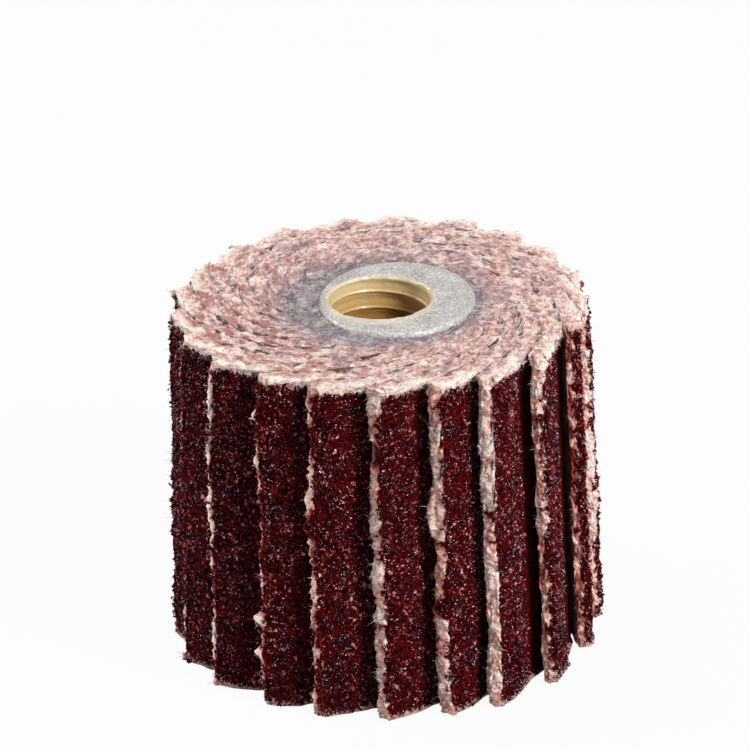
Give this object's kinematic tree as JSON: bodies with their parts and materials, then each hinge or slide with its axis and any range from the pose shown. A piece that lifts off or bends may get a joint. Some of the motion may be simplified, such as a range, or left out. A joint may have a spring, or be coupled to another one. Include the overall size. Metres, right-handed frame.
{
  "type": "flap wheel",
  "caption": "Small abrasive flap wheel: sheets of grit-coated cloth packed round an off-centre cast hub with a bore, standing on one end.",
  "frame": {"origin": "on the wheel's axis at its foot, the end it stands on", "axes": "+Z along the axis, upwards from the foot; -Y towards the viewer in the picture; +X to the right in the picture, the side the hub's oval leans to"},
  "size_m": [0.0308, 0.0311, 0.0253],
  "materials": {
    "hub_resin": "cast resin, grey white, satin and speckled, amber in the bore",
    "potting_resin": "dark purple-grey adhesive, matte with pale specks",
    "abrasive_cloth": "cotton cloth with pale pink cut edges, and dark red aluminium-oxide grit in resin on the outer side"
  },
  "bodies": {
    "root": {"hub": "hub_resin", "potting_resin": "potting_resin", "flap_01": "abrasive_cloth", "flap_02": "abrasive_cloth", "flap_03": "abrasive_cloth", "flap_04": "abrasive_cloth", "flap_05": "abrasive_cloth", "flap_06": "abrasive_cloth", "flap_07": "abrasive_cloth", "flap_08": "abrasive_cloth", "flap_09": "abrasive_cloth", "flap_10": "abrasive_cloth", "flap_11": "abrasive_cloth", "flap_12": "abrasive_cloth", "flap_13": "abrasive_cloth", "flap_14": "abrasive_cloth", "flap_15": "abrasive_cloth", "flap_16": "abrasive_cloth", "flap_17": "abrasive_cloth", "flap_18": "abrasive_cloth", "flap_19": "abrasive_cloth", "flap_20": "abrasive_cloth", "flap_21": "abrasive_cloth"}
  },
  "joints": []
}
